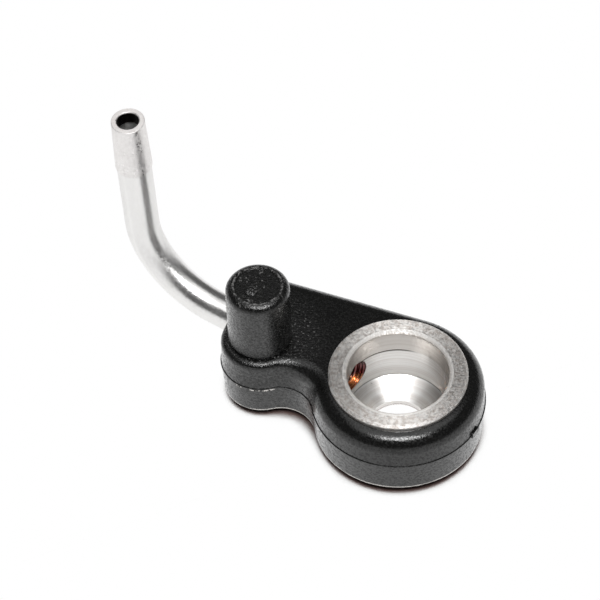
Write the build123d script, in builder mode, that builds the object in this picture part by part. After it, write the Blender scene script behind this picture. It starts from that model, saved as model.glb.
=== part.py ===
"""Piston cooling nozzle: a moulded body on a metal bush, with a bent jet tube and its tip.

Origin on the axis of the bolt hole, at the underside of the bush, +Z along that axis towards
the face that meets the engine block. The locating peg stands on the -X side.
"""

import os
from math import atan2, cos, degrees, radians, sin, sqrt, tan

from build123d import *

# Bush: a turned compression limiter with an oil chamber over the bolt hole
bush_diameter = 20.0
bush_height = 12.5
bolt_hole_diameter = 8.4
bolt_hole_land = 0.8
drill_point_angle = 118.0
chamber_diameter = 15.0
mouth_lip = 0.2
mouth_depth = 3.8
mouth_chamfer_width = 0.6
mouth_chamfer_depth = 0.35
rim_chamfer = 0.3
grip_groove_width = 1.0
grip_groove_depth = 0.5
grip_groove_inset = 1.7

# Body: the moulding round the bush and the tube
boss_diameter = 25.0
bush_stands_proud = 0.9
parting_height = 6.6
peg_pitch = 21.2
end_diameter = 11.7
waist_radius = 4.8
back_corner_radius = 4.0
draft_angle = 3.0
boss_edge_radius = 2.6
end_edge_radius = 1.0
foot_chamfer = 0.6
flash_width = 0.1
flash_thickness = 0.14
gate_angle = -9.5
gate_width = 1.9
gate_height = 1.0
gate_corner_radius = 0.3
gate_stub = 0.25
gate_root = 1.0

# Locating peg, moulded in one with the body
peg_diameter = 9.2
peg_height = 11.2
peg_edge_radius = 1.2
peg_groove_width = 0.35
peg_groove_depth = 0.25
dish_depth = 0.25
sink_diameter = 1.8
sink_depth = 0.15
sink_offset = 1.15
sink_angle = -113.0

# Jet tube, from the bush's wall through the arm and up
tube_diameter = 5.0
tube_wall = 0.7
tube_yaw = 12.2
tube_end_recess = 0.8
run_past_end = 3.8
bend_radius = 12.4
jet_lean = 2.7
jet_leg = 12.6
spigot_wall = 0.3
spigot_length = 7.4

# Tip: a tapered turned sleeve on the end of the tube
tip_step = 0.17
tip_taper = 0.27
tip_land = 2.0
tip_edge_chamfer = 0.12
orifice_diameter = 3.0
orifice_chamfer = 0.25

# Braze: the copper ring between the tube's end and the port
braze_thickness = 0.6
braze_fillet = 0.35

bush_radius = bush_diameter / 2
bolt_hole_radius = bolt_hole_diameter / 2
chamber_radius = chamber_diameter / 2
mouth_radius = chamber_radius - mouth_lip
boss_radius = boss_diameter / 2
end_radius = end_diameter / 2
peg_radius = peg_diameter / 2
tube_radius = tube_diameter / 2
tube_bore_radius = tube_radius - tube_wall
body_top = bush_height - bush_stands_proud
body_bottom = bush_stands_proud

# The tube lies in the parting plane, radial to the bush, turned from -X towards +Y by its yaw
tube_direction = Vector(-cos(radians(tube_yaw)), sin(radians(tube_yaw)), 0)
tube_side = tube_direction.cross(Vector(0, 0, 1))
tube_axis_origin = Vector(0, 0, parting_height)
tube_end_distance = chamber_radius + tube_end_recess
bend_distance = (peg_pitch + end_radius) / cos(radians(tube_yaw)) + run_past_end


def across_tube(distance):
    """Plane across the tube's straight run, at a distance from the bolt axis."""
    return Plane(origin=tube_axis_origin + tube_direction * distance, z_dir=tube_direction)


# Bush: half section outside, with two grooves that the moulding grips
groove_radius = bush_radius - grip_groove_depth
groove_heights = (body_bottom + grip_groove_inset, body_top - grip_groove_inset)
bush_outside = [(bush_radius - rim_chamfer, 0), (bush_radius, rim_chamfer)]
for height in groove_heights:
    bush_outside += [
        (bush_radius, height - grip_groove_width / 2),
        (groove_radius, height - grip_groove_width / 2),
        (groove_radius, height + grip_groove_width / 2),
        (bush_radius, height + grip_groove_width / 2),
    ]
bush_outside += [(bush_radius, bush_height - rim_chamfer), (bush_radius - rim_chamfer, bush_height)]

# Bush: half section inside, from the rim down the mouth and chamber to the drill point
point_drop = (chamber_radius - bolt_hole_radius) / tan(radians(drill_point_angle / 2))
bush_inside = [
    (mouth_radius + mouth_chamfer_width, bush_height),
    (mouth_radius, bush_height - mouth_chamfer_depth),
    (mouth_radius, bush_height - mouth_depth),
    (chamber_radius, bush_height - mouth_depth),
    (chamber_radius, bolt_hole_land + point_drop),
    (bolt_hole_radius, bolt_hole_land),
    (bolt_hole_radius, 0),
]

with BuildPart() as bush:
    with BuildSketch(Plane.XZ):
        with BuildLine():
            Polyline(*bush_outside, *bush_inside, close=True)
        make_face()
    revolve(axis=Axis.Z)
    with BuildSketch(across_tube(0)):
        Circle(tube_radius)
    extrude(amount=bush_diameter, mode=Mode.SUBTRACT)

# Jet tube: straight run, one bend, then the leg that aims the jet, with a spigot for the tip
jet_direction = Vector(0, 0, 1) * cos(radians(jet_lean)) - tube_side * sin(radians(jet_lean))
bend_start = tube_axis_origin + tube_direction * bend_distance
bend_end = bend_start + (tube_direction + jet_direction) * bend_radius
spigot_start = bend_end + jet_direction * jet_leg
tube_mouth = spigot_start + jet_direction * spigot_length
spigot_radius = tube_bore_radius + spigot_wall

with BuildPart() as jet_tube:
    with BuildLine():
        Line(tube_axis_origin + tube_direction * tube_end_distance, bend_start)
        TangentArc(bend_start, bend_end, tangent=tube_direction)
        Line(bend_end, tube_mouth)
    with BuildSketch(across_tube(tube_end_distance)):
        Circle(tube_radius)
        Circle(tube_bore_radius, mode=Mode.SUBTRACT)
    sweep()
    with BuildSketch(Plane(origin=spigot_start, z_dir=jet_direction)):
        Circle(tube_radius + tip_step)
        Circle(spigot_radius, mode=Mode.SUBTRACT)
    extrude(amount=spigot_length, mode=Mode.SUBTRACT)

# Tip: sits on the spigot's shoulder, and its land closes over the end of the tube
tip_base_radius = tube_radius + tip_step
tip_mouth_radius = tip_base_radius - tip_taper
tip_length = spigot_length + tip_land
tip_section = Plane(
    origin=spigot_start, x_dir=tube_direction, z_dir=tube_direction.cross(jet_direction)
)

with BuildPart() as nozzle_tip:
    with BuildSketch(tip_section):
        with BuildLine():
            Polyline(
                (spigot_radius, 0),
                (tip_base_radius - tip_edge_chamfer, 0),
                (tip_base_radius, tip_edge_chamfer),
                (tip_mouth_radius, tip_length - tip_edge_chamfer),
                (tip_mouth_radius - tip_edge_chamfer, tip_length),
                (orifice_diameter / 2 + orifice_chamfer, tip_length),
                (orifice_diameter / 2, tip_length - orifice_chamfer),
                (orifice_diameter / 2, spigot_length),
                (spigot_radius, spigot_length),
                close=True,
            )
        make_face()
    revolve(axis=Axis(spigot_start, jet_direction))

# Braze ring: fills the port against the tube's end, with a hollow face towards the chamber
with BuildPart() as braze_ring:
    with BuildSketch(across_tube(tube_end_distance - braze_thickness)):
        Circle(tube_radius)
        Circle(tube_bore_radius, mode=Mode.SUBTRACT)
    extrude(amount=braze_thickness)
    chamber_side = braze_ring.faces().sort_by(Axis(tube_axis_origin, tube_direction))[0]
    chamfer(chamber_side.edges().sort_by(SortBy.RADIUS)[0], length=braze_fillet)


def body_outline(boss_inset=0, end_inset=0):
    """Boss, straight back edge, small end round the peg, and the waist tangent to both."""
    boss = boss_radius - boss_inset
    end = end_radius - end_inset
    waist = waist_radius + end_inset
    corner = back_corner_radius - end_inset
    end_face = -peg_pitch - end
    waist_x = -(peg_pitch**2 + (boss + waist) ** 2 - (end + waist) ** 2) / (2 * peg_pitch)
    waist_y = -sqrt((boss + waist) ** 2 - waist_x**2)
    boss_touch = degrees(atan2(waist_y, waist_x))
    end_touch = degrees(atan2(waist_y, waist_x + peg_pitch))
    with BuildLine() as outline:
        Line((0, boss), (end_face + corner, boss))
        CenterArc((end_face + corner, boss - corner), corner, 90, 90)
        Line((end_face, boss - corner), (end_face, 0))
        CenterArc((-peg_pitch, 0), end, 180, 180 + end_touch)
        CenterArc((waist_x, waist_y), waist, end_touch + 180, boss_touch - end_touch)
        CenterArc((0, 0), boss, boss_touch, 90 - boss_touch)
    return outline.edges()


def rounding_inset(radius, depth):
    """How far a rounded edge has drawn in at a depth below the top face."""
    if depth >= radius:
        return 0
    return radius - sqrt(radius**2 - (radius - depth) ** 2)


# Body above the parting plane: a drafted wall, then a top edge that is rounded more on the
# boss than on the small end, lofted through outlines drawn in by each one's own quarter round
wall_top = body_top - boss_edge_radius
wall_inset = (wall_top - parting_height) * tan(radians(draft_angle))
rounding_steps = 7
rounding_depths = [
    boss_edge_radius * (1 - sin(radians(90 * step / rounding_steps)))
    for step in range(rounding_steps + 1)
]

# A Bezier curve's handle for a quarter round, as a share of its radius
quarter_round_handle = 4 * (sqrt(2) - 1) / 3

gate_direction = Vector(cos(radians(gate_angle)), sin(radians(gate_angle)), 0)
gate_plane = Plane(
    origin=tube_axis_origin + gate_direction * boss_radius,
    x_dir=gate_direction.cross(Vector(0, 0, -1)),
    z_dir=gate_direction,
)

peg_top = body_top + peg_height
dish_radius = peg_radius - peg_edge_radius
peg_edge_handle = peg_edge_radius * quarter_round_handle
sink_radius = (sink_diameter**2 / 4 + sink_depth**2) / (2 * sink_depth)
sink_centre = (
    sink_offset * cos(radians(sink_angle)) - peg_pitch,
    sink_offset * sin(radians(sink_angle)),
    peg_top - dish_depth - sink_depth + sink_radius,
)

with BuildPart() as body:
    with BuildSketch(Plane.XY.offset(parting_height)):
        make_face(body_outline())
    extrude(amount=wall_top - parting_height, taper=draft_angle)
    for depth in rounding_depths:
        with BuildSketch(Plane.XY.offset(body_top - depth)):
            make_face(
                body_outline(
                    wall_inset + rounding_inset(boss_edge_radius, depth),
                    wall_inset + rounding_inset(end_edge_radius, depth),
                )
            )
    loft()

    # Below the parting plane
    with BuildSketch(Plane.XY.offset(parting_height)):
        make_face(body_outline())
    extrude(amount=body_bottom - parting_height, taper=draft_angle)
    chamfer(body.faces().sort_by(Axis.Z)[0].edges(), foot_chamfer)

    # Flash along the parting line, and the stub that the gate left on the boss
    with BuildSketch(Plane.XY.offset(parting_height - flash_thickness / 2)):
        make_face(body_outline(-flash_width, -flash_width))
    extrude(amount=flash_thickness)
    with BuildSketch(gate_plane.offset(-gate_root)):
        RectangleRounded(gate_width, gate_height, gate_corner_radius)
    extrude(amount=gate_root + gate_stub)

    # Locating peg, with a groove at its root and a dished top
    with BuildSketch(Plane(origin=(-peg_pitch, 0, 0), x_dir=(1, 0, 0), z_dir=(0, -1, 0))):
        with BuildLine():
            Polyline(
                (0, body_top - peg_groove_width),
                (peg_radius - peg_groove_depth, body_top - peg_groove_width),
                (peg_radius - peg_groove_depth, body_top + peg_groove_width),
                (peg_radius, body_top + peg_groove_width + peg_groove_depth),
                (peg_radius, peg_top - peg_edge_radius),
            )
            Bezier(
                (peg_radius, peg_top - peg_edge_radius),
                (peg_radius, peg_top - peg_edge_radius + peg_edge_handle),
                (dish_radius + peg_edge_handle, peg_top),
                (dish_radius, peg_top),
            )
            Polyline(
                (dish_radius, peg_top),
                (dish_radius - dish_depth, peg_top - dish_depth),
                (0, peg_top - dish_depth),
                (0, body_top - peg_groove_width),
            )
        make_face()
    revolve(axis=Axis((-peg_pitch, 0, 0), (0, 0, 1)))

    # Sink mark in the dish
    with Locations(sink_centre):
        Sphere(sink_radius, mode=Mode.SUBTRACT)

    # Room for the bush and the tube
    with BuildSketch(Plane.XZ):
        with BuildLine():
            Polyline((0, 0), *bush_outside, (0, bush_height), close=True)
        make_face()
    revolve(axis=Axis.Z, mode=Mode.SUBTRACT)
    with BuildSketch(across_tube(0)):
        Circle(tube_radius)
    extrude(amount=bend_distance, mode=Mode.SUBTRACT)

os.makedirs("parts", exist_ok=True)

body.part.label = "body"
export_step(body.part, "parts/body.step")
bush.part.label = "bush"
export_step(bush.part, "parts/bush.step")
jet_tube.part.label = "jet_tube"
export_step(jet_tube.part, "parts/jet_tube.step")
nozzle_tip.part.label = "nozzle_tip"
export_step(nozzle_tip.part, "parts/nozzle_tip.step")
braze_ring.part.label = "braze_ring"
export_step(braze_ring.part, "parts/braze_ring.step")
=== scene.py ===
"""Piston cooling nozzle: finishes and fine detail for the packed part, and its stage."""

from math import cos, radians, sin

import bpy
from bpy.props import FloatProperty, FloatVectorProperty, PointerProperty
from mathutils import Matrix, Vector


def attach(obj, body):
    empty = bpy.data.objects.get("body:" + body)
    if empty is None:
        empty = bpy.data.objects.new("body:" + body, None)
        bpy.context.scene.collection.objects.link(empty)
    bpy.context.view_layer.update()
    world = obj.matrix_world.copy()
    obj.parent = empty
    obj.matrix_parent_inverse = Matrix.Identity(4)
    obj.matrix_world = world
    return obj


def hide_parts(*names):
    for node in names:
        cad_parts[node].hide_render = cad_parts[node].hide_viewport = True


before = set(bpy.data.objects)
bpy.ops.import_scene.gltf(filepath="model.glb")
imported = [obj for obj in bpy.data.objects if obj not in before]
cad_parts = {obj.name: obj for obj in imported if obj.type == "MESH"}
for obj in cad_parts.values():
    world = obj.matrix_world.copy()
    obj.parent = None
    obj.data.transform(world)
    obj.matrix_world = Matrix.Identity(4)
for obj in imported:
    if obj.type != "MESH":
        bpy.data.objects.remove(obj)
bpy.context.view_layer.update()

bl_info = {
    "name": "Piston cooling nozzle",
    "version": (1, 0, 0),
    "blender": (4, 5, 0),
    "location": "3D View > Sidebar > Nozzle",
    "description": "Finishes and fine detail for the packed nozzle, and its stage",
    "category": "Object",
}

MM = 0.001
NEAR_CLIP = 0.01
FAR_CLIP = 20.0
FLOOR_DROP = 0.02 * MM

# Places that the part's own drawing gives: the peg's axis and foot, the tube's level side and
# line, the middle of the tip's orifice and where it aims, and sizes of body and bush
PEG_X = -21.2 * MM
PEG_FOOT = 11.6 * MM
TUBE_YAW = radians(12.2)
TUBE_SIDE = (sin(TUBE_YAW), cos(TUBE_YAW), 0)
TUBE_AXIS = (-cos(TUBE_YAW), sin(TUBE_YAW), 0)
JET_MOUTH = (-43.227 * MM, 7.688 * MM, 40.962 * MM)
JET_DIRECTION = (-0.00995, -0.04604, 0.99889)
CHAMBER_RADIUS = 7.5 * MM
PARTING_HEIGHT = 6.6 * MM
END_RADIUS = 5.85 * MM

# Flash on the small end: where each run starts and how far it turns, in degrees; its thickness
FLASH_RUNS = ((-106, 10, 0.1 * MM), (-85, 15, 0.1 * MM), (-67, 18, 0.14 * MM))
FLASH_DROP = 0.2 * MM
FLASH_STANDS_OUT = 0.06 * MM
FLASH_SIDES = 8
FLASH_STEPS = 24

# The gate's vestige: a ball pressed flat, roughened and cut off level
VESTIGE_PLACE = (-21.75 * MM, -1.2 * MM, 22.5 * MM)
VESTIGE_RADIUS = 1.0 * MM
VESTIGE_SHAPE = (1.0, 0.8, 0.3)
VESTIGE_ROUGHNESS = 0.09 * MM

# Braze, as rings along the tube's axis: distance from the bolt's axis, and radius
BRAZE_PROFILE = [
    (distance * MM, radius * MM)
    for distance, radius in (
        (6.70, 2.48), (8.26, 2.48), (8.28, 1.80), (9.80, 1.79), (9.82, 1.66), (9.20, 1.58),
        (8.90, 1.70), (8.60, 1.50), (8.34, 1.62), (8.20, 2.08), (8.06, 2.26), (7.92, 1.98),
        (7.74, 2.34), (7.60, 2.38), (7.46, 2.10), (7.28, 2.44), (7.14, 2.44), (7.00, 2.20),
        (6.84, 2.44),
    )
]
BRAZE_SIDES = 48
BRAZE_PROUD = 0.04 * MM
CHAMBER_SIDES = 256
CHAMBER_CUT = 30 * MM
MERGE_DISTANCE = 0.001 * MM

# A finish fades over the part between two heights or distances. They are sockets 1 and 2 of a
# Map Range, whose sockets 3 and 4 are what it gives there: 0 and 1 where nothing else is said.
SMOOTH = {"interpolation_type": "SMOOTHSTEP"}
FADE_OUT = {3: 1.0, 4: 0.0}

# Body, by height: foot's edge and the painted highlight line over it, rounding of the top edge,
# top face, then the peg's root, side, upper edge and dish
FOOT_EDGE = {1: 1.4 * MM, 2: 1.5 * MM}
FOOT_LINE_END = {1: 1.66 * MM, 2: 1.76 * MM}
TOP_EDGE = {1: 10.2 * MM, 2: 11.2 * MM}
TOP_FACE = {1: 11.4 * MM, 2: 11.6 * MM}
PEG_ROOT = {1: 11.7 * MM, 2: 11.9 * MM}
PEG_SIDE = {1: 11.8 * MM, 2: 12.8 * MM, 4: 0.8}
PEG_EDGE = {1: 21.5 * MM, 2: 22.0 * MM}
PEG_DISH = {1: 22.2 * MM, 2: 22.5 * MM}
# Body, by distance from the peg's foot, from its axis to both sides of the lip, and along X
NEAR_PEG = {1: 5 * MM, 2: 11 * MM}
LIP_INSIDE = {1: 3.25 * MM, 2: 3.4 * MM}
LIP_OUTSIDE = {1: 3.55 * MM, 2: 3.75 * MM}
SMALL_END = {1: -16 * MM, 2: -11 * MM}
# Bush, by height: corner of the drill point, underside and end of the lip, end of bore, face
CORNER_START = {1: 2.7 * MM, 2: 2.8 * MM, 4: 0.6}
CORNER_END = {1: 2.86 * MM, 2: 3.0 * MM}
UNDER_LIP = {1: 8.05 * MM, 2: 8.35 * MM}
LIP_END = {1: 8.7 * MM, 2: 8.72 * MM}
MOUTH_START = {1: 8.68 * MM, 2: 8.72 * MM}
BORE_END = {1: 11.9 * MM, 2: 12.1 * MM}
FACE_START = {1: 12.1 * MM, 2: 12.2 * MM}
# Bush, by radius: wall of the mouth, wall of the chamber, outside of the chamfer, face
MOUTH_WALL = {1: 7.38 * MM, 2: 7.42 * MM}
CHAMBER_WALL = {1: 7.55 * MM, 2: 7.6 * MM}
CHAMFER_OUTSIDE = {1: 7.85 * MM, 2: 8.0 * MM}
FACE_INSIDE = {1: 7.9 * MM, 2: 8.1 * MM}
# Towards this side of the bore the painted shade under the lip thins out, over this distance
LESS_SHADED_SIDE = (0.92, 0.39, 0)
SHADE_THINS = {1: 1.0 * MM, 2: 4.0 * MM, 3: 1.0, 4: 0.1}
# Tip, by radius and by distance along its axis; braze, by height and by radius
ORIFICE_EDGE = {1: 1.52 * MM, 2: 1.66 * MM}
END_FACE = {1: -0.12 * MM, 2: -0.02 * MM}
OXIDE_START = {1: 5.4 * MM, 2: 6.0 * MM}
BRAZE_EDGE = {1: 2.2 * MM, 2: 2.4 * MM, 4: 0.7}

# Between these values of its noise a mark goes from none to full
FLECKS = {1: 0.58, 2: 0.7, 4: 0.5}
LIP_GLINT_PATCHES = {1: 0.42, 2: 0.62, 4: 0.5}
FIBRES = {1: 0.46, 2: 0.68}
DISH_PATCHES = {1: 0.46, 2: 0.6}
LINE_BREAKS = {1: 0.3, 2: 0.5, 3: 0.3, 4: 1.0}
GLOSS_PATCHES = {1: 0.42, 2: 0.62}
FLASH_HIGHLIGHT_PATCHES = {1: 0.35, 2: 0.6}
STAINS = {1: 0.42, 2: 0.64, 4: 0.6}
BANDS = {1: 0.35, 2: 0.65}
SPECKS = {1: 0.35, 2: 0.65}
BLOTCHES = {1: 0.3, 2: 0.7}
# Openness of the paper beside the part, where its painted shade ends and where its white starts
SHADE_END = {1: 0.42, 2: 0.56}
WHITE_START = {1: 0.46, 2: 0.66}

# How far roughness goes to each side of its setting, or how much a place adds to it
PATCH_SMOOTHER = 0.04
PATCH_ROUGHER = 0.26
TURNED_SPREAD = 0.05
FACE_SPREAD = 0.2
DRAWN_SPREAD = 0.09
SATIN_SPREAD = 0.18
CHAMFER_ROUGHER = 0.22
END_FACE_ROUGHER = 0.4
TORN_ROUGHNESS = 0.4
# How much the mouth's wall greys, and how much higher the grain stands on and round the peg
MOUTH_GREYING = 0.6
PEG_COARSER = 1.6

# Nylon's own index is about 1.53. A filled moulding has less gloss, so these are lower.
NYLON_IOR = 1.34
GLOSS_IOR = 1.36
GLOSS_ROUGHNESS = 0.12
# Marks in one direction spread a highlight across themselves. The braze's oxide is glassy.
TURNED_ANISOTROPY = 0.57
DRAWN_ANISOTROPY = 0.7
QUARTER_TURN = 0.25
OXIDE_ROUGHNESS = 0.05


def linear(hex_colour):
    """Linear RGB of an sRGB hex colour."""
    shares = [int(hex_colour[i : i + 2], 16) / 255 for i in (1, 3, 5)]
    return [s / 12.92 if s <= 0.04045 else ((s + 0.055) / 1.055) ** 2.4 for s in shares]


def rgba(colour):
    """A colour setting as the four numbers that a socket takes."""
    return [*colour, 1.0]


def add_node(tree, kind, inputs=None, **options):
    """Adds a node with its options. An input takes a value, an output or a node's first one."""
    node = tree.nodes.new(kind)
    for name, value in options.items():
        setattr(node, name, value)
    for socket, value in (inputs or {}).items():
        if isinstance(value, bpy.types.Node):
            value = next(output for output in value.outputs if output.enabled)
        if isinstance(value, bpy.types.NodeSocket):
            tree.links.new(value, node.inputs[socket])
        else:
            node.inputs[socket].default_value = value
    return node


def new_tree(owner):
    """The emptied node tree of a material or of the world."""
    owner.use_nodes = True
    owner.node_tree.nodes.clear()
    return owner.node_tree


def colour_setting(name, description, hex_colour):
    return FloatVectorProperty(
        name=name, description=description, subtype="COLOR", size=3, min=0, max=1,
        default=linear(hex_colour),
    )


def length_setting(name, description, millimetres):
    return FloatProperty(
        name=name, description=description, unit="LENGTH", min=0, precision=6,
        default=millimetres * MM,
    )


def share_setting(name, description, value):
    return FloatProperty(
        name=name, description=description, subtype="FACTOR", min=0, max=1, default=value
    )


class NozzleNylonSettings(bpy.types.PropertyGroup):
    """Glass-filled nylon of the moulded body."""

    colour: colour_setting("Colour", "Black of the moulding", "#080808")
    bloom: colour_setting("Bloom", "Greyer skin where the resin has flowed", "#10100f")
    mottle: colour_setting("Mottle", "Fibres under the skin of peg and small end", "#3c3c3c")
    # fleck_and_glint: pale fibre ends beside the peg, and a painted highlight round the dish's
    # lip
    fleck_and_glint: colour_setting("Fleck", "Pale fibre ends and scuffs", "#969594")
    # painted_highlight: pale colour that stands in for the highlights on the flash and on the
    # edge over the foot
    painted_highlight: colour_setting("Whitened", "Flash where it was stretched and torn", "#c9c6c2")
    roughness: share_setting("Roughness", "Roughness of the moulded skin", 0.16)
    flow: length_setting("Flow", "Width of the clouds where the resin has flowed", 2.4)
    grain: length_setting("Grain", "Width of the grain in the mould's skin", 0.3)
    grain_height: length_setting("Grain height", "Height of that grain", 0.03)
    fleck_size: length_setting("Fleck size", "Width of the pale flecks", 0.4)
    gloss_patch: length_setting("Gloss patch", "Width of the patches with less gloss", 0.35)
    gloss_loss: share_setting("Gloss loss", "Gloss that such a patch has lost", 0.4)


class NozzleSteelSettings(bpy.types.PropertyGroup):
    """Turned steel of the bush, and the drawn steel of the tube and its tip."""

    turned: colour_setting("Turned steel", "Colour of the bush", "#f3f2f0")
    banded: colour_setting("Banded steel", "Greyer bands between the tool marks", "#e0dcd8")
    mouth: colour_setting("Mouth", "Greyer wall of the mouth above the lip", "#b3aca5")
    stain: colour_setting("Stain", "Brownish patches on the bush's face", "#a89c93")
    # bore_shade: colour of the painted shade under the lip and in the drill point's corner
    bore_shade: colour_setting("Oil", "Dried oil in the corners of the bore", "#3d382c")
    turned_roughness: share_setting("Turned roughness", "Roughness of the bush", 0.58)
    bore_polish: share_setting("Bore polish", "How much smoother the bore is", 0.26)
    feed: length_setting("Feed", "Distance between the tool marks", 0.22)
    feed_height: length_setting("Feed height", "Height of the tool marks", 0.003)
    band: length_setting("Band", "Width of the bands between the tool marks", 0.6)
    patch: length_setting("Patch", "Width of the stains and blotches on the bush", 0.65)
    pit: length_setting("Pit", "Width of the fine pits in all the steel", 0.28)
    pit_depth: length_setting("Pit depth", "Depth of the pits in the bush's face", 0.03)
    cloud: length_setting("Cloud", "Width of the duller clouds on tube and tip", 2.5)
    drawn: colour_setting("Drawn steel", "Colour of the tube", "#f6f5f4")
    drawn_roughness: share_setting("Drawn roughness", "Roughness of the tube", 0.37)
    drawn_dull: colour_setting("Dull drawn steel", "Duller clouds on the tube", "#ecebe9")
    satin: colour_setting("Satin steel", "Colour of the tip", "#f6f4f3")
    satin_dull: colour_setting("Dull satin steel", "Duller clouds on the tip", "#ebe8e6")
    # orifice_shade: colour of the painted shade inside the orifice
    orifice_shade: colour_setting("Soot", "Dark inside of the orifice", "#2a2524")
    pitting: length_setting("Pitting", "Depth of the fine pits in tube and tip", 0.01)
    satin_roughness: share_setting("Satin roughness", "Roughness of the tip", 0.45)


class NozzleBrazeSettings(bpy.types.PropertyGroup):
    """Copper braze in the port."""

    copper: colour_setting("Copper", "Colour of the braze", "#ee9c80")
    straw: colour_setting("Straw", "Gold temper tint on the braze", "#dfa04a")
    scale: colour_setting("Scale", "Dark oxide on the braze", "#641a19")
    cloud: length_setting("Cloud", "Width of the clouds of temper tint", 0.5)
    waver: length_setting("Waver", "How far the edge of the oxide wavers", 1.2)
    roughness: share_setting("Roughness", "Roughness of the braze", 0.25)


class NozzleStageSettings(bpy.types.PropertyGroup):
    """Floor, light and camera."""

    floor: colour_setting("Floor", "Colour of the paper under the part", "#f4f4f3")
    # shade: the colour of the shadow painted on the paper where the part closes it in
    shade: colour_setting("Shade", "Colour of the paper right under the part", "#665450")
    floor_size: length_setting("Floor size", "Side of the square floor", 6000)
    shade_reach: length_setting("Shade reach", "How near the part the paper darkens", 4)
    softbox_width: length_setting("Softbox width", "Width of the softbox", 260)
    softbox_depth: length_setting("Softbox depth", "Depth of the softbox", 120)
    softbox_distance: length_setting("Softbox distance", "From the part to the softbox", 500)
    softbox_azimuth: FloatProperty(
        name="Softbox azimuth", description="Softbox's turn round the part", subtype="ANGLE",
        default=radians(26),
    )
    softbox_elevation: FloatProperty(
        name="Softbox elevation", description="Softbox's height above the horizon",
        subtype="ANGLE", default=radians(67),
    )
    softbox_power: FloatProperty(
        name="Softbox power", description="Power of the softbox", unit="POWER", default=1.95
    )
    ceiling_size: length_setting("Ceiling size", "Side of the lit ceiling panel", 600)
    ceiling_height: length_setting("Ceiling height", "Height of the ceiling panel", 600)
    ceiling_power: FloatProperty(
        name="Ceiling power", description="Power of the ceiling panel", unit="POWER",
        default=1.44,
    )
    room: share_setting("Room", "Brightness of the room above the backdrop", 0.11)
    backdrop_rise: share_setting("Backdrop rise", "Sine of the backdrop's height", 0.08)
    lens: FloatProperty(name="Lens", description="Focal length", unit="CAMERA", default=180)
    azimuth: FloatProperty(
        name="Azimuth", description="Camera's turn round the part", subtype="ANGLE",
        default=radians(23.26),
    )
    elevation: FloatProperty(
        name="Elevation", description="Camera's height above the horizon", subtype="ANGLE",
        default=radians(49.4685),
    )
    roll: FloatProperty(
        name="Roll", description="Camera's turn about its own axis", subtype="ANGLE",
        default=radians(-2.25),
    )
    aim: FloatVectorProperty(
        name="Aim", description="Point on the floor at the middle of the view",
        subtype="TRANSLATION", unit="LENGTH", precision=6,
        default=(-22.2415 * MM, 17.4862 * MM, 0),
    )
    distance: length_setting("Distance", "From the camera to its aim", 451.912)


def settings(name):
    """The scene's settings of one kind."""
    return getattr(bpy.context.scene, "nozzle_" + name)


def finish_node(name, material):
    """Gives a CAD node its finish."""
    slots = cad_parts[name].material_slots
    if not slots:
        raise RuntimeError(f"the packed node {name} has no material slot")
    slots[0].material = material


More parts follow.
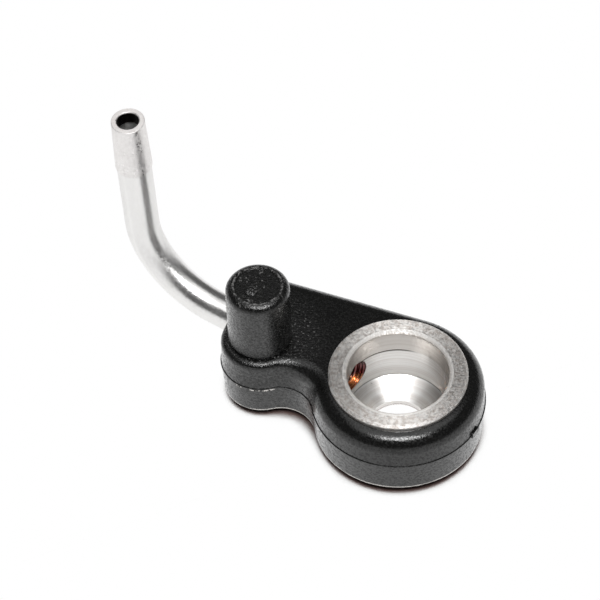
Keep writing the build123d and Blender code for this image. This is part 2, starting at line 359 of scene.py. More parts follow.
def moulded_nylon(values):
    """Glass-filled nylon as it left the mould: a near-black skin with a resin gloss.

    The gloss is patchy where fibres lie near the skin. The fine grain breaks highlights into
    sparks and is coarser on and round the peg, where fibre ends show pale. On the lip of the
    dish and along the sharp edge over the foot, pale patches are painted highlights. A fibre
    is about 0.01 mm thick and the real grain 0.1 mm wide, so both are drawn several times as
    coarse, or they wouldn't show.
    """
    material = bpy.data.materials.new("moulded_glass_filled_nylon")
    tree = new_tree(material)
    place = add_node(tree, "ShaderNodeTexCoord").outputs["Object"]
    x, y, z = add_node(tree, "ShaderNodeSeparateXYZ", {0: place}).outputs
    grain = add_node(
        tree, "ShaderNodeTexNoise",
        {"Vector": place, "Scale": 1 / values.grain, "Detail": 3.0, "Roughness": 0.6},
    )
    flow = add_node(
        tree, "ShaderNodeTexNoise",
        {"Vector": place, "Scale": 1 / values.flow, "Detail": 4.0, "Roughness": 0.55},
    )
    ends = add_node(
        tree, "ShaderNodeTexNoise",
        {"Vector": place, "Scale": 1 / values.fleck_size, "Detail": 2.0, "Roughness": 0.7},
    )
    patches = add_node(
        tree, "ShaderNodeTexNoise",
        {"Vector": place, "Scale": 1 / values.gloss_patch, "Detail": 1.0},
    )

    # Where on the body: near the peg's foot, over the sides, on the peg, in and round its dish
    from_foot = add_node(
        tree, "ShaderNodeVectorMath", {0: place, 1: (PEG_X, 0, PEG_FOOT)}, operation="DISTANCE"
    )
    near_peg = add_node(
        tree, "ShaderNodeMapRange", {0: from_foot, **NEAR_PEG, **FADE_OUT}, **SMOOTH
    )
    over_side = add_node(tree, "ShaderNodeMapRange", {0: z, **TOP_EDGE}, **SMOOTH)
    on_top = add_node(tree, "ShaderNodeMapRange", {0: z, **TOP_FACE}, **SMOOTH)
    under_peg = add_node(tree, "ShaderNodeMapRange", {0: z, **PEG_ROOT, **FADE_OUT}, **SMOOTH)
    on_peg = add_node(tree, "ShaderNodeMapRange", {0: z, **PEG_SIDE}, **SMOOTH)
    in_dish = add_node(tree, "ShaderNodeMapRange", {0: z, **PEG_DISH}, **SMOOTH)
    flat = add_node(tree, "ShaderNodeCombineXYZ", {0: x, 1: y})
    from_axis = add_node(
        tree, "ShaderNodeVectorMath", {0: flat, 1: (PEG_X, 0, 0)}, operation="DISTANCE"
    )
    past_lip = add_node(tree, "ShaderNodeMapRange", {0: from_axis, **LIP_INSIDE}, **SMOOTH)
    before_edge = add_node(
        tree, "ShaderNodeMapRange", {0: from_axis, **LIP_OUTSIDE, **FADE_OUT}, **SMOOTH
    )
    on_lip = add_node(
        tree, "ShaderNodeMath", {0: past_lip, 1: before_edge}, operation="MULTIPLY"
    )
    lip = add_node(tree, "ShaderNodeMath", {0: on_lip, 1: in_dish}, operation="MULTIPLY")

    # Fibre ends beside the peg and in its dish, and a painted highlight in patches round the
    # dish's lip
    beside_peg = add_node(
        tree, "ShaderNodeMath", {0: on_top, 1: under_peg}, operation="MULTIPLY"
    )
    fibrous_top = add_node(
        tree, "ShaderNodeMath", {0: near_peg, 1: beside_peg}, operation="MULTIPLY"
    )
    dish_patches = add_node(tree, "ShaderNodeMapRange", {0: flow, **DISH_PATCHES}, **SMOOTH)
    fibrous_dish = add_node(
        tree, "ShaderNodeMath", {0: in_dish, 1: dish_patches}, operation="MULTIPLY"
    )
    fibrous = add_node(
        tree, "ShaderNodeMath", {0: fibrous_top, 1: fibrous_dish}, operation="MAXIMUM"
    )
    bare_ends = add_node(tree, "ShaderNodeMapRange", {0: ends, **FLECKS}, **SMOOTH)
    speck = add_node(tree, "ShaderNodeMath", {0: bare_ends, 1: fibrous}, operation="MULTIPLY")
    # Painted highlight: pale patches round the dish's lip stand in for its glints
    lip_glint_patches = add_node(tree, "ShaderNodeMapRange", {0: ends, **LIP_GLINT_PATCHES}, **SMOOTH)
    lip_highlight = add_node(tree, "ShaderNodeMath", {0: lip_glint_patches, 1: lip}, operation="MULTIPLY")
    pale = add_node(tree, "ShaderNodeMath", {0: speck, 1: lip_highlight}, operation="MAXIMUM")

    # Fibres under the skin of the peg's side and of the small end's sides
    small_end = add_node(tree, "ShaderNodeMapRange", {0: x, **SMALL_END, **FADE_OUT}, **SMOOTH)
    on_side = add_node(tree, "ShaderNodeMapRange", {0: z, **TOP_EDGE, **FADE_OUT}, **SMOOTH)
    end_side = add_node(
        tree, "ShaderNodeMath", {0: small_end, 1: on_side}, operation="MULTIPLY"
    )
    under_edge = add_node(tree, "ShaderNodeMapRange", {0: z, **PEG_EDGE, **FADE_OUT}, **SMOOTH)
    peg_skin = add_node(
        tree, "ShaderNodeMath", {0: on_peg, 1: under_edge}, operation="MULTIPLY"
    )
    thin_skin = add_node(
        tree, "ShaderNodeMath", {0: end_side, 1: peg_skin}, operation="MAXIMUM"
    )
    fibres = add_node(tree, "ShaderNodeMapRange", {0: ends, **FIBRES}, **SMOOTH)
    mottle = add_node(tree, "ShaderNodeMath", {0: fibres, 1: thin_skin}, operation="MULTIPLY")

    # A broken pale line along the edge over the foot: a painted highlight
    above_foot = add_node(tree, "ShaderNodeMapRange", {0: z, **FOOT_EDGE}, **SMOOTH)
    below_side = add_node(
        tree, "ShaderNodeMapRange", {0: z, **FOOT_LINE_END, **FADE_OUT}, **SMOOTH
    )
    line = add_node(
        tree, "ShaderNodeMath", {0: above_foot, 1: below_side}, operation="MULTIPLY"
    )
    breaks = add_node(tree, "ShaderNodeMapRange", {0: flow, **LINE_BREAKS}, **SMOOTH)
    foot_highlight = add_node(tree, "ShaderNodeMath", {0: line, 1: breaks}, operation="MULTIPLY")

    skin = add_node(
        tree, "ShaderNodeMix",
        {0: flow, 6: rgba(values.colour), 7: rgba(values.bloom)}, data_type="RGBA",
    )
    mottled = add_node(
        tree, "ShaderNodeMix", {0: mottle, 6: skin, 7: rgba(values.mottle)}, data_type="RGBA"
    )
    flecked = add_node(
        tree, "ShaderNodeMix", {0: pale, 6: mottled, 7: rgba(values.fleck_and_glint)}, data_type="RGBA"
    )
    colour = add_node(
        tree, "ShaderNodeMix",
        {0: foot_highlight, 6: flecked, 7: rgba(values.painted_highlight)}, data_type="RGBA",
    )
    roughness = add_node(
        tree, "ShaderNodeMapRange",
        {0: patches, **GLOSS_PATCHES,
         3: values.roughness - PATCH_SMOOTHER, 4: values.roughness + PATCH_ROUGHER},
        **SMOOTH
    )
    gloss = add_node(
        tree, "ShaderNodeMapRange",
        {0: patches, **GLOSS_PATCHES, 3: 1.0, 4: 1.0 - values.gloss_loss}, **SMOOTH
    )
    round_peg = add_node(
        tree, "ShaderNodeMath", {0: near_peg, 1: over_side}, operation="MULTIPLY"
    )
    coarse = add_node(tree, "ShaderNodeMath", {0: round_peg, 1: on_peg}, operation="MAXIMUM")
    coarseness = add_node(
        tree, "ShaderNodeMath", {0: coarse, 1: PEG_COARSER, 2: 1.0}, operation="MULTIPLY_ADD"
    )
    height = add_node(tree, "ShaderNodeMath", {0: grain, 1: coarseness}, operation="MULTIPLY")
    bump = add_node(
        tree, "ShaderNodeBump",
        {"Height": height, "Distance": values.grain_height, "Strength": 1.0},
    )
    surface = add_node(
        tree, "ShaderNodeBsdfPrincipled",
        {"Base Color": colour, "Roughness": roughness, "Normal": bump, "IOR": NYLON_IOR,
         "Coat Weight": gloss, "Coat Roughness": GLOSS_ROUGHNESS, "Coat IOR": GLOSS_IOR,
         "Coat Normal": bump},
    )
    add_node(tree, "ShaderNodeOutputMaterial", {"Surface": surface})
    return material


def flash_highlight_nylon(values):
    """The same nylon, stretched thin and torn at the mould's edge, painted pale in patches as
    the highlight that the thin fin catches.
    """
    material = bpy.data.materials.new("flash_nylon_painted_highlight")
    tree = new_tree(material)
    place = add_node(tree, "ShaderNodeTexCoord").outputs["Object"]
    torn = add_node(
        tree, "ShaderNodeTexNoise",
        {"Vector": place, "Scale": 1 / values.grain, "Detail": 2.0, "Roughness": 0.6},
    )
    # Painted highlight: pale patches on the flash stand in for the light it catches
    share = add_node(tree, "ShaderNodeMapRange", {0: torn, **FLASH_HIGHLIGHT_PATCHES}, **SMOOTH)
    colour = add_node(
        tree, "ShaderNodeMix",
        {0: share, 6: rgba(values.colour), 7: rgba(values.painted_highlight)}, data_type="RGBA",
    )
    surface = add_node(
        tree, "ShaderNodeBsdfPrincipled",
        {"Base Color": colour, "Roughness": TORN_ROUGHNESS, "IOR": NYLON_IOR},
    )
    add_node(tree, "ShaderNodeOutputMaterial", {"Surface": surface})
    return material


def turned_steel(values):
    """Low-carbon steel, turned and degreased: light grey, with tool marks round the axis.

    The marks spread light across themselves, so the face is bright before and behind the
    axis and dull at its sides, where fine pits glitter. The mouth is greyer than the chamber,
    a painted shade draws a dark line under part of its lip and along the drill point's corner,
    and faint brown stains lie on the face.
    The real pits are some 0.05 mm wide, and are drawn coarser to show.
    """
    material = bpy.data.materials.new("turned_steel")
    tree = new_tree(material)
    place = add_node(tree, "ShaderNodeTexCoord").outputs["Object"]
    x, y, z = add_node(tree, "ShaderNodeSeparateXYZ", {0: place}).outputs
    flat = add_node(tree, "ShaderNodeCombineXYZ", {0: x, 1: y})
    radius = add_node(tree, "ShaderNodeVectorMath", {0: flat}, operation="LENGTH")
    profile = add_node(tree, "ShaderNodeCombineXYZ", {0: radius, 1: z})
    marks = add_node(
        tree, "ShaderNodeTexNoise", {"Vector": profile, "Scale": 1 / values.feed, "Detail": 2.0}
    )
    bands = add_node(
        tree, "ShaderNodeTexNoise",
        {"Vector": profile, "Scale": 1 / values.band, "Detail": 3.0, "Roughness": 0.7},
    )
    patches = add_node(
        tree, "ShaderNodeTexNoise",
        {"Vector": place, "Scale": 1 / values.patch, "Detail": 6.0, "Roughness": 0.7},
    )
    pits = add_node(
        tree, "ShaderNodeTexNoise",
        {"Vector": place, "Scale": 1 / values.pit, "Detail": 1.0},
    )

    # Bands of the bush: its face outside the mouth, the mouth's wall, the lip's underside
    outside_mouth = add_node(tree, "ShaderNodeMapRange", {0: radius, **FACE_INSIDE}, **SMOOTH)
    above_lip = add_node(tree, "ShaderNodeMapRange", {0: z, **MOUTH_START}, **SMOOTH)
    within_mouth = add_node(
        tree, "ShaderNodeMapRange", {0: radius, **MOUTH_WALL, **FADE_OUT}, **SMOOTH
    )
    in_mouth = add_node(
        tree, "ShaderNodeMath", {0: above_lip, 1: within_mouth}, operation="MULTIPLY"
    )
    # Painted shade: a dark line under the lip that thins out to one side, and one along the
    # corner of the drill point
    near_lip = add_node(tree, "ShaderNodeMapRange", {0: z, **UNDER_LIP}, **SMOOTH)
    below_lip = add_node(tree, "ShaderNodeMapRange", {0: z, **LIP_END, **FADE_OUT}, **SMOOTH)
    lip_side = add_node(
        tree, "ShaderNodeVectorMath", {0: place, 1: LESS_SHADED_SIDE}, operation="DOT_PRODUCT"
    )
    shade_fade = add_node(tree, "ShaderNodeMapRange", {0: lip_side, **SHADE_THINS}, **SMOOTH)
    under_lip = add_node(
        tree, "ShaderNodeMath", {0: near_lip, 1: below_lip}, operation="MULTIPLY"
    )
    shade_under_lip = add_node(
        tree, "ShaderNodeMath", {0: under_lip, 1: shade_fade}, operation="MULTIPLY"
    )
    over_corner = add_node(tree, "ShaderNodeMapRange", {0: z, **CORNER_START}, **SMOOTH)
    under_corner = add_node(
        tree, "ShaderNodeMapRange", {0: z, **CORNER_END, **FADE_OUT}, **SMOOTH
    )
    in_corner = add_node(
        tree, "ShaderNodeMath", {0: over_corner, 1: under_corner}, operation="MULTIPLY"
    )
    in_bore = add_node(
        tree, "ShaderNodeMapRange", {0: radius, **CHAMBER_WALL, **FADE_OUT}, **SMOOTH
    )
    corners = add_node(
        tree, "ShaderNodeMath", {0: shade_under_lip, 1: in_corner}, operation="MAXIMUM"
    )
    bore_shade = add_node(tree, "ShaderNodeMath", {0: in_bore, 1: corners}, operation="MULTIPLY")

    rusty = add_node(tree, "ShaderNodeMapRange", {0: patches, **STAINS}, **SMOOTH)
    stain = add_node(tree, "ShaderNodeMath", {0: rusty, 1: outside_mouth}, operation="MULTIPLY")
    banding = add_node(tree, "ShaderNodeMapRange", {0: bands, **BANDS}, **SMOOTH)
    greying = add_node(
        tree, "ShaderNodeMath", {0: in_mouth, 1: MOUTH_GREYING}, operation="MULTIPLY"
    )
    steel = add_node(
        tree, "ShaderNodeMix",
        {0: banding, 6: rgba(values.turned), 7: rgba(values.banded)}, data_type="RGBA",
    )
    mouth = add_node(
        tree, "ShaderNodeMix", {0: greying, 6: steel, 7: rgba(values.mouth)}, data_type="RGBA"
    )
    stained = add_node(
        tree, "ShaderNodeMix", {0: stain, 6: mouth, 7: rgba(values.stain)}, data_type="RGBA"
    )
    colour = add_node(
        tree, "ShaderNodeMix", {0: bore_shade, 6: stained, 7: rgba(values.bore_shade)}, data_type="RGBA"
    )

    # Roughness: smoother in the bore, rougher on the chamfer, and speckled by the pits
    blotches = add_node(
        tree, "ShaderNodeMapRange",
        {0: patches, **BLOTCHES,
         3: values.turned_roughness - TURNED_SPREAD,
         4: values.turned_roughness + TURNED_SPREAD},
    )
    near_face = add_node(tree, "ShaderNodeMapRange", {0: z, **FACE_START}, **SMOOTH)
    inside_face = add_node(
        tree, "ShaderNodeMapRange", {0: radius, **CHAMFER_OUTSIDE, **FADE_OUT}, **SMOOTH
    )
    on_chamfer = add_node(
        tree, "ShaderNodeMath", {0: near_face, 1: inside_face}, operation="MULTIPLY"
    )
    polish = add_node(
        tree, "ShaderNodeMapRange",
        {0: z, **BORE_END, 3: -values.bore_polish, 4: 0.0}, **SMOOTH
    )
    smoother = add_node(tree, "ShaderNodeMath", {0: polish, 1: blotches}, operation="ADD")
    roughness = add_node(
        tree, "ShaderNodeMath",
        {0: on_chamfer, 1: CHAMFER_ROUGHER, 2: smoother}, operation="MULTIPLY_ADD",
    )
    speckle = add_node(
        tree, "ShaderNodeMapRange", {0: pits, **SPECKS, 3: -FACE_SPREAD, 4: FACE_SPREAD}
    )
    speckled_face = add_node(
        tree, "ShaderNodeMath", {0: speckle, 1: near_face}, operation="MULTIPLY"
    )
    worn = add_node(
        tree, "ShaderNodeMath",
        {0: roughness, 1: speckled_face}, operation="ADD", use_clamp=True,
    )
    pits_on_face = add_node(
        tree, "ShaderNodeMapRange",
        {0: z, **BORE_END, 3: 0.0, 4: values.pit_depth / values.feed_height}, **SMOOTH
    )
    height = add_node(
        tree, "ShaderNodeMath", {0: pits, 1: pits_on_face, 2: marks}, operation="MULTIPLY_ADD"
    )
    bump = add_node(
        tree, "ShaderNodeBump",
        {"Height": height, "Distance": values.feed_height, "Strength": 1.0},
    )
    along_marks = add_node(
        tree, "ShaderNodeVectorMath", {0: (0, 0, 1), 1: flat}, operation="CROSS_PRODUCT"
    )
    surface = add_node(
        tree, "ShaderNodeBsdfPrincipled",
        {"Base Color": colour, "Roughness": worn, "Normal": bump, "Metallic": 1.0,
         "Anisotropic": TURNED_ANISOTROPY, "Anisotropic Rotation": QUARTER_TURN,
         "Tangent": along_marks},
    )
    add_node(tree, "ShaderNodeOutputMaterial", {"Surface": surface})
    return material


def drawn_steel(values):
    """Plated steel, polished round with a belt: bright, its highlights drawn out lengthwise.

    Fine pits, drawn coarser than they are, break the edges of its dark streaks.
    """
    material = bpy.data.materials.new("belt_polished_plated_steel")
    tree = new_tree(material)
    place = add_node(tree, "ShaderNodeTexCoord").outputs["Object"]
    grain = add_node(
        tree, "ShaderNodeTexNoise",
        {"Vector": place, "Scale": 1 / values.pit, "Detail": 1.0},
    )
    cloud = add_node(
        tree, "ShaderNodeTexNoise",
        {"Vector": place, "Scale": 1 / values.cloud, "Detail": 4.0},
    )
    shade = add_node(
        tree, "ShaderNodeMix",
        {0: cloud, 6: rgba(values.drawn), 7: rgba(values.drawn_dull)}, data_type="RGBA",
    )
    roughness = add_node(
        tree, "ShaderNodeMapRange",
        {0: grain, **BLOTCHES,
         3: values.drawn_roughness - DRAWN_SPREAD, 4: values.drawn_roughness + DRAWN_SPREAD},
    )
    bump = add_node(
        tree, "ShaderNodeBump",
        {"Height": grain, "Distance": values.pitting, "Strength": 1.0},
    )
    outward = add_node(tree, "ShaderNodeNewGeometry").outputs["Normal"]
    along_tube = add_node(
        tree, "ShaderNodeVectorMath", {0: outward, 1: TUBE_SIDE}, operation="CROSS_PRODUCT"
    )
    surface = add_node(
        tree, "ShaderNodeBsdfPrincipled",
        {"Base Color": shade, "Roughness": roughness, "Normal": bump, "Metallic": 1.0,
         "Anisotropic": DRAWN_ANISOTROPY, "Tangent": along_tube},
    )
    add_node(tree, "ShaderNodeOutputMaterial", {"Surface": surface})
    return material


def satin_steel(values):
    """Plated steel with a satin skin and a matt end face; the orifice is painted dark as shade.
    """
    material = bpy.data.materials.new("satin_plated_steel")
    tree = new_tree(material)
    place = add_node(tree, "ShaderNodeTexCoord").outputs["Object"]
    grain = add_node(
        tree, "ShaderNodeTexNoise",
        {"Vector": place, "Scale": 1 / values.pit, "Detail": 1.0},
    )
    cloud = add_node(
        tree, "ShaderNodeTexNoise",
        {"Vector": place, "Scale": 1 / values.cloud, "Detail": 4.0},
    )
    shade = add_node(
        tree, "ShaderNodeMix",
        {0: cloud, 6: rgba(values.satin), 7: rgba(values.satin_dull)}, data_type="RGBA",
    )
    from_mouth = add_node(
        tree, "ShaderNodeVectorMath", {0: place, 1: JET_MOUTH}, operation="SUBTRACT"
    )
    along = add_node(
        tree, "ShaderNodeVectorMath", {0: from_mouth, 1: JET_DIRECTION}, operation="DOT_PRODUCT"
    )
    aside = add_node(
        tree, "ShaderNodeVectorMath",
        {0: from_mouth, 1: JET_DIRECTION}, operation="CROSS_PRODUCT",
    )
    from_axis = add_node(tree, "ShaderNodeVectorMath", {0: aside}, operation="LENGTH")
    inside = add_node(
        tree, "ShaderNodeMapRange", {0: from_axis, **ORIFICE_EDGE, **FADE_OUT}, **SMOOTH
    )
    # Painted shade: the inside of the orifice is coloured dark
    colour = add_node(
        tree, "ShaderNodeMix", {0: inside, 6: shade, 7: rgba(values.orifice_shade)}, data_type="RGBA"
    )
    on_end = add_node(tree, "ShaderNodeMapRange", {0: along, **END_FACE}, **SMOOTH)
    speckled = add_node(
        tree, "ShaderNodeMapRange",
        {0: grain, **BLOTCHES,
         3: values.satin_roughness - SATIN_SPREAD, 4: values.satin_roughness + SATIN_SPREAD},
    )
    roughness = add_node(
        tree, "ShaderNodeMath",
        {0: on_end, 1: END_FACE_ROUGHER, 2: speckled}, operation="MULTIPLY_ADD",
    )
    bump = add_node(
        tree, "ShaderNodeBump",
        {"Height": grain, "Distance": values.pitting, "Strength": 1.0},
    )
    surface = add_node(
        tree, "ShaderNodeBsdfPrincipled",
        {"Base Color": colour, "Roughness": roughness, "Normal": bump, "Metallic": 1.0},
    )
    add_node(tree, "ShaderNodeOutputMaterial", {"Surface": surface})
    return material


def braze_copper(values):
    """Copper braze, furnace-flowed: orange metal low in the port, dark red oxide above it.

    The oxide also edges the braze. It is glassy, so its ridges carry thin white glints.
    """
    material = bpy.data.materials.new("copper_braze")
    tree = new_tree(material)
    place = add_node(tree, "ShaderNodeTexCoord").outputs["Object"]
    z = add_node(tree, "ShaderNodeSeparateXYZ", {0: place}).outputs[2]
    cloud = add_node(
        tree, "ShaderNodeTexNoise",
        {"Vector": place, "Scale": 1 / values.cloud, "Detail": 3.0},
    )
    wavering = add_node(
        tree, "ShaderNodeMath", {0: cloud, 1: values.waver, 2: z}, operation="MULTIPLY_ADD"
    )
    high = add_node(tree, "ShaderNodeMapRange", {0: wavering, **OXIDE_START}, **SMOOTH)
    from_port = add_node(
        tree, "ShaderNodeVectorMath",
        {0: place, 1: (0, 0, PARTING_HEIGHT)}, operation="SUBTRACT",
    )
    aside = add_node(
        tree, "ShaderNodeVectorMath", {0: from_port, 1: TUBE_AXIS}, operation="CROSS_PRODUCT"
    )
    from_axis = add_node(tree, "ShaderNodeVectorMath", {0: aside}, operation="LENGTH")
    at_edge = add_node(tree, "ShaderNodeMapRange", {0: from_axis, **BRAZE_EDGE}, **SMOOTH)
    oxide = add_node(tree, "ShaderNodeMath", {0: high, 1: at_edge}, operation="MAXIMUM")
    copper = add_node(
        tree, "ShaderNodeMix",
        {0: cloud, 6: rgba(values.copper), 7: rgba(values.straw)}, data_type="RGBA",
    )
    colour = add_node(
        tree, "ShaderNodeMix", {0: oxide, 6: copper, 7: rgba(values.scale)}, data_type="RGBA"
    )
    surface = add_node(
        tree, "ShaderNodeBsdfPrincipled",
        {"Base Color": colour, "Roughness": values.roughness, "Metallic": 1.0,
         "Coat Weight": 1.0, "Coat Roughness": OXIDE_ROUGHNESS},
    )
    add_node(tree, "ShaderNodeOutputMaterial", {"Surface": surface})
    return material


def open_mesh(name):
    """Names the primitive just added and opens it for editing, all of it selected."""
    piece = bpy.context.object
    piece.name = name
    bpy.ops.object.mode_set(mode="EDIT")
    bpy.ops.mesh.select_all(action="SELECT")
    return piece


def close_mesh(piece, material, smooth_angle=40):
    """Cleans an edited piece, puts its place into its mesh, and ties it to the part."""
    bpy.ops.mesh.select_all(action="SELECT")
    bpy.ops.mesh.remove_doubles(threshold=MERGE_DISTANCE)
    bpy.ops.mesh.normals_make_consistent(inside=False)
    bpy.ops.object.mode_set(mode="OBJECT")
    bpy.ops.object.transform_apply(location=True, rotation=True, scale=True)
    bpy.ops.object.shade_smooth_by_angle(angle=radians(smooth_angle))
    piece.data.materials.clear()
    piece.data.materials.append(material)
    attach(piece, "root")


class NOZZLE_OT_body(bpy.types.Operator):
    """Gives the moulded body its nylon finish, and adds its flash and its gate's vestige"""

    bl_idname = "nozzle.body"
    bl_label = "Moulded body"

    def execute(self, context):
        nylon = moulded_nylon(settings("nylon"))
        torn = flash_highlight_nylon(settings("nylon"))
        finish_node("body", nylon)
        for count, (start, sweep, thickness) in enumerate(FLASH_RUNS):
            self.add_flash(f"flash_{count}", radians(start), radians(sweep), thickness, torn)
        self.add_vestige(nylon)
        return {"FINISHED"}

    def add_flash(self, name, start, sweep, thickness, material):
        """A fin squeezed out of the parting line, spun along the round small end."""
        bpy.ops.object.select_all(action="DESELECT")
        reach = END_RADIUS + FLASH_STANDS_OUT
        place = (PEG_X + reach * cos(start), reach * sin(start), PARTING_HEIGHT - FLASH_DROP)
        bpy.ops.mesh.primitive_circle_add(
            vertices=FLASH_SIDES, radius=thickness, fill_type="NGON",
            location=place, rotation=(radians(90), 0, start),
        )
        piece = open_mesh(name)
        bpy.ops.mesh.spin(
            steps=FLASH_STEPS, angle=sweep, center=(PEG_X, 0, place[2]), axis=(0, 0, -1)
        )
        close_mesh(piece, material)

    def add_vestige(self, nylon):
        """The torn stub that a pin gate leaves in the peg's dish."""
        bpy.ops.object.select_all(action="DESELECT")
        bpy.ops.mesh.primitive_uv_sphere_add(
            segments=24, ring_count=12, radius=VESTIGE_RADIUS, location=VESTIGE_PLACE,
        )
        piece = open_mesh("gate_vestige")
        bpy.ops.transform.resize(value=VESTIGE_SHAPE, center_override=VESTIGE_PLACE)
        bpy.ops.transform.vertex_random(
            offset=VESTIGE_ROUGHNESS, uniform=0.4, normal=0.6, seed=3
        )
        bpy.ops.mesh.bisect(
            plane_co=VESTIGE_PLACE, plane_no=(0, 0, -1), clear_outer=True, use_fill=True,
            threshold=MERGE_DISTANCE,
        )
        close_mesh(piece, nylon, smooth_angle=60)


class NOZZLE_OT_bush(bpy.types.Operator):
    """Gives the bush its turned steel finish"""

    bl_idname = "nozzle.bush"
    bl_label = "Bush"

    def execute(self, context):
        finish_node("bush", turned_steel(settings("steel")))
        return {"FINISHED"}


class NOZZLE_OT_jet(bpy.types.Operator):
    """Gives the jet tube and its tip their drawn and satin steel"""

    bl_idname = "nozzle.jet"
    bl_label = "Jet tube and tip"

    def execute(self, context):
        values = settings("steel")
        finish_node("jet_tube", drawn_steel(values))
        finish_node("nozzle_tip", satin_steel(values))
        return {"FINISHED"}


class NOZZLE_OT_braze(bpy.types.Operator):
    """Builds the braze that lines the port and laps over the tube's end in ridges"""

    bl_idname = "nozzle.braze"
    bl_label = "Braze"

    def execute(self, context):
        piece = self.add_rings()
        piece.rotation_euler = (0, radians(90), radians(180) - TUBE_YAW)
        piece.location = (0, 0, PARTING_HEIGHT)
        bpy.ops.object.transform_apply(location=True, rotation=True, scale=True)
        rounding = piece.modifiers.new("rounding", "SUBSURF")
        rounding.levels = rounding.render_levels = 2
        bpy.ops.object.modifier_apply(modifier=rounding.name)
        self.cut_to_chamber(context, piece)
        bpy.ops.object.mode_set(mode="EDIT")
        close_mesh(piece, braze_copper(settings("braze")))
        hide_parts("braze_ring")
        return {"FINISHED"}

    def add_rings(self):
        """A closed ring drawn out along Z through the braze's profile, back to its start."""
        bpy.ops.object.select_all(action="DESELECT")
        distance, radius = BRAZE_PROFILE[0]
        bpy.ops.mesh.primitive_circle_add(
            vertices=BRAZE_SIDES, radius=radius, location=(0, 0, distance), fill_type="NOTHING"
        )
        piece = open_mesh("braze_fillet")
        for next_distance, next_radius in [*BRAZE_PROFILE[1:], BRAZE_PROFILE[0]]:
            bpy.ops.mesh.extrude_region_move(
                TRANSFORM_OT_translate={"value": (0, 0, next_distance - distance)}
            )
            share = next_radius / radius
            bpy.ops.transform.resize(
                value=(share, share, 1), center_override=(0, 0, next_distance)
            )
            distance, radius = next_distance, next_radius
        bpy.ops.mesh.select_all(action="SELECT")
        bpy.ops.mesh.remove_doubles(threshold=MERGE_DISTANCE)
        bpy.ops.mesh.normals_make_consistent(inside=False)
        bpy.ops.object.mode_set(mode="OBJECT")
        bpy.ops.object.transform_apply(location=True, rotation=True, scale=True)
        return piece

    def cut_to_chamber(self, context, piece):
        """Cuts the braze off along the chamber's wall, a little proud of it."""
        bpy.ops.object.select_all(action="DESELECT")
        bpy.ops.mesh.primitive_cylinder_add(
            vertices=CHAMBER_SIDES, radius=CHAMBER_RADIUS - BRAZE_PROUD, depth=CHAMBER_CUT
        )
        cutter = context.object
        bpy.ops.object.select_all(action="DESELECT")
        piece.select_set(True)
        context.view_layer.objects.active = piece
        trim = piece.modifiers.new("trim", "BOOLEAN")
        trim.operation = "DIFFERENCE"
        trim.solver = "EXACT"
        trim.object = cutter
        bpy.ops.object.modifier_apply(modifier=trim.name)
        bpy.data.objects.remove(cutter, do_unlink=True)


def paper_floor(values):
    """Matt white paper: white wherever it is seen, and a painted shade where the part closes it
    in.
    """
    material = bpy.data.materials.new("matt_white_paper")
    tree = new_tree(material)
    # Painted shade: how closed in the paper is sets where the shade colour comes in and the
    # white goes
    openness = add_node(
        tree, "ShaderNodeAmbientOcclusion", {"Distance": values.shade_reach}, samples=16
    ).outputs["AO"]
    out_of_shade = add_node(tree, "ShaderNodeMapRange", {0: openness, **SHADE_END}, **SMOOTH)
    under = add_node(
        tree, "ShaderNodeMix",
        {0: out_of_shade, 6: rgba(values.shade), 7: rgba(values.floor)}, data_type="RGBA",
    )
    paper = add_node(tree, "ShaderNodeBsdfDiffuse", {"Color": under})
    lit = add_node(tree, "ShaderNodeMapRange", {0: openness, **WHITE_START}, **SMOOTH)
    rays = add_node(tree, "ShaderNodeLightPath").outputs
    reflected = add_node(
        tree, "ShaderNodeMath",
        {0: rays["Is Glossy Ray"], 1: rays["Is Transmission Ray"]}, operation="MAXIMUM",
    )
    seen = add_node(
        tree, "ShaderNodeMath", {0: rays["Is Camera Ray"], 1: reflected}, operation="MAXIMUM"
    )
    share = add_node(tree, "ShaderNodeMath", {0: seen, 1: lit}, operation="MULTIPLY")
    white = add_node(tree, "ShaderNodeEmission", {"Strength": 1.0})
    surface = add_node(tree, "ShaderNodeMixShader", {0: share, 1: paper, 2: white})
    add_node(tree, "ShaderNodeOutputMaterial", {"Surface": surface})
    return material


def studio_world(values):
    """A dim room, white behind the part, with a low white backdrop in reflections."""
    world = bpy.data.worlds.new("studio")
    bpy.context.scene.world = world
    tree = new_tree(world)
    direction = add_node(tree, "ShaderNodeTexCoord").outputs["Generated"]
    height = add_node(tree, "ShaderNodeSeparateXYZ", {0: direction}).outputs[2]
    backdrop = add_node(
        tree, "ShaderNodeMapRange",
        {0: height, 1: values.backdrop_rise / 2, 2: values.backdrop_rise, **FADE_OUT},
    )
    rays = add_node(tree, "ShaderNodeLightPath").outputs
    reflected = add_node(
        tree, "ShaderNodeMath",
        {0: rays["Is Glossy Ray"], 1: rays["Is Transmission Ray"]}, operation="MAXIMUM",
    )
    low = add_node(tree, "ShaderNodeMath", {0: reflected, 1: backdrop}, operation="MULTIPLY")
    room = add_node(tree, "ShaderNodeMath", {0: low, 1: values.room}, operation="MAXIMUM")
    strength = add_node(
        tree, "ShaderNodeMath", {0: rays["Is Camera Ray"], 1: room}, operation="MAXIMUM"
    )
    light = add_node(tree, "ShaderNodeBackground", {"Strength": strength})
    add_node(tree, "ShaderNodeOutputWorld", {"Surface": light})


def facing(azimuth, elevation, roll=0.0):
    """Turn of a camera or lamp that looks at the part from an azimuth and elevation."""
    return (
        Matrix.Rotation(azimuth, 3, "Z")
        @ Matrix.Rotation(radians(90) - elevation, 3, "X")
        @ Matrix.Rotation(roll, 3, "Z")
    )


def add_panel(name, place, turn, size, power):
    """A rectangular lamp, width and depth, that shines along its own -Z."""
    bpy.ops.object.light_add(type="AREA", location=place, rotation=turn.to_euler())
    lamp = bpy.context.object
    lamp.name = name
    lamp.data.shape = "RECTANGLE"
    lamp.data.size, lamp.data.size_y = size
    lamp.data.energy = power


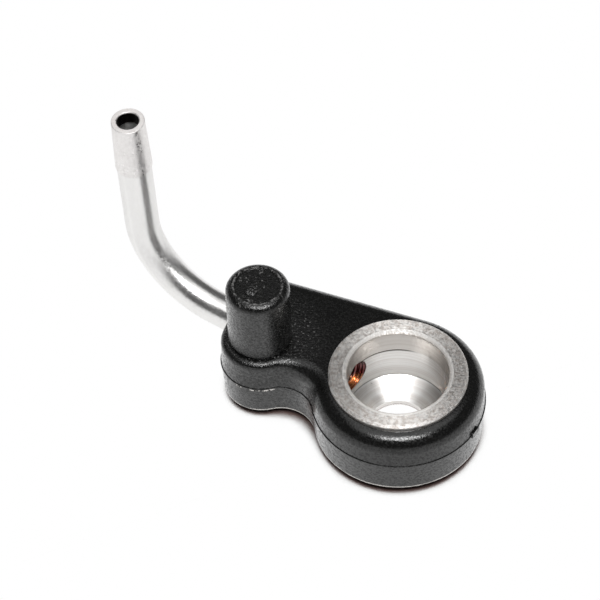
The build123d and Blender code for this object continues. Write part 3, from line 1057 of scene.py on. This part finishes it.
class NOZZLE_OT_stage(bpy.types.Operator):
    """Lays the paper floor, hangs the softbox overhead and sets the camera"""

    bl_idname = "nozzle.stage"
    bl_label = "Stage"

    def execute(self, context):
        values = settings("stage")
        scene = context.scene
        bpy.ops.object.select_all(action="DESELECT")
        bpy.ops.mesh.primitive_plane_add(
            size=values.floor_size, location=(0, 0, -FLOOR_DROP)
        )
        floor = context.object
        floor.name = "floor"
        bpy.ops.object.transform_apply(location=True, rotation=False, scale=False)
        floor.data.materials.append(paper_floor(values))

        softbox_facing = facing(values.softbox_azimuth, values.softbox_elevation)
        add_panel(
            "softbox", softbox_facing.col[2] * values.softbox_distance, softbox_facing,
            (values.softbox_width, values.softbox_depth), values.softbox_power,
        )
        add_panel(
            "ceiling", Vector((0, 0, values.ceiling_height)), Matrix.Identity(3),
            (values.ceiling_size, values.ceiling_size), values.ceiling_power,
        )
        studio_world(values)

        camera_facing = facing(values.azimuth, values.elevation, values.roll)
        place = Vector(values.aim) + camera_facing.col[2] * values.distance
        bpy.ops.object.camera_add(location=place, rotation=camera_facing.to_euler())
        camera = context.object
        camera.data.lens = values.lens
        camera.data.clip_start = NEAR_CLIP
        camera.data.clip_end = FAR_CLIP
        scene.camera = camera
        scene.view_settings.view_transform = "Standard"
        return {"FINISHED"}


OPERATORS = (NOZZLE_OT_body, NOZZLE_OT_bush, NOZZLE_OT_jet, NOZZLE_OT_braze, NOZZLE_OT_stage)
SETTINGS = {
    "nylon": NozzleNylonSettings,
    "steel": NozzleSteelSettings,
    "braze": NozzleBrazeSettings,
    "stage": NozzleStageSettings,
}


class NOZZLE_PT_panel(bpy.types.Panel):
    """The nozzle's operators and settings"""

    bl_label = "Piston cooling nozzle"
    bl_idname = "NOZZLE_PT_panel"
    bl_space_type = "VIEW_3D"
    bl_region_type = "UI"
    bl_category = "Nozzle"

    def draw(self, context):
        for operator in OPERATORS:
            self.layout.operator(operator.bl_idname)
        for name, group in SETTINGS.items():
            box = self.layout.box()
            box.label(text=group.__doc__)
            for setting in group.__annotations__:
                box.prop(settings(name), setting)


CLASSES = (*SETTINGS.values(), *OPERATORS, NOZZLE_PT_panel)


def register():
    for each in CLASSES:
        bpy.utils.register_class(each)
    for name, group in SETTINGS.items():
        setattr(bpy.types.Scene, "nozzle_" + name, PointerProperty(type=group))


def unregister():
    for name in SETTINGS:
        delattr(bpy.types.Scene, "nozzle_" + name)
    for each in reversed(CLASSES):
        bpy.utils.unregister_class(each)


def main():
    register()
    bpy.ops.nozzle.body()
    bpy.ops.nozzle.bush()
    bpy.ops.nozzle.jet()
    bpy.ops.nozzle.braze()
    bpy.ops.nozzle.stage()


if __name__ == "__main__":
    main()
